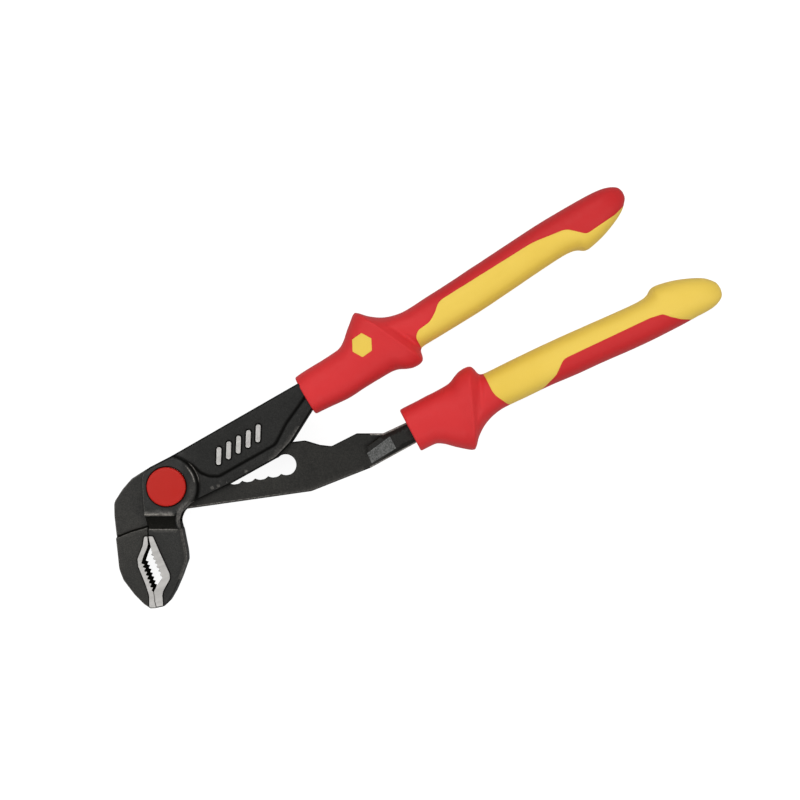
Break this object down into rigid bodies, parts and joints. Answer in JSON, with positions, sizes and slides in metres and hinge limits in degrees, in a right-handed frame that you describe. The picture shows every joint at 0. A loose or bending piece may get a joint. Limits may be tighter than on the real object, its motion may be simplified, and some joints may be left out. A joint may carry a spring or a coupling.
{
  "type": "insulated water pump pliers",
  "caption": "Insulated box-joint water pump pliers with a push-button notch adjustment and two-colour grips.",
  "frame": {"origin": "on the joint pin's axis, in the plane of the rear faces of the box joint", "axes": "+Z along the joint pin, from the rear of the box to the button; +X along the handles, away from the jaws; +Y from the jaws towards the upper handle. The jaws are shut at the tightest notch at rest"},
  "size_m": [0.2297, 0.1596, 0.0208],
  "materials": {
    "black_steel": "satin black phosphated forged steel with a fine grain",
    "pin_steel": "ground steel",
    "spring_steel": "drawn wire",
    "button_red": "satin red coating",
    "grip_yellow": "matte moulded grip material, yellow",
    "grip_red": "matte moulded grip material, red"
  },
  "bodies": {
    "box_lever": {"box_lever": "black_steel", "upper_grip_core": "grip_yellow", "upper_grip_shell": "grip_red", "upper_grip_inlay": "grip_yellow"},
    "pivot_carrier": {"spring_seat_washer": "pin_steel", "return_spring": "spring_steel"},
    "button_pin": {"locking_pin": "pin_steel", "push_button": "button_red", "retaining_ring": "spring_steel"},
    "rack_lever": {"rack_lever": "black_steel", "lower_grip_core": "grip_yellow", "lower_grip_shell": "grip_red", "lower_grip_inlay": "grip_yellow"}
  },
  "joints": [
    {"name": "jaw_pivot", "type": "hinge", "parent": "box_lever", "child": "pivot_carrier", "pos_m": [0, 0, 0.0085], "axis": [0, 0, 1], "range_deg": [-30, 0]},
    {"name": "slot_adjust", "type": "slide", "parent": "pivot_carrier", "child": "rack_lever", "axis": [-0.9842, -0.1771, 0], "range_m": [0, 0.03]},
    {"name": "button_press", "type": "slide", "parent": "pivot_carrier", "child": "button_pin", "axis": [0, 0, -1], "range_m": [0, 0.003], "stiffness_N_per_m": 900, "springref_m": -0.002, "deforming": ["return_spring"]}
  ]
}
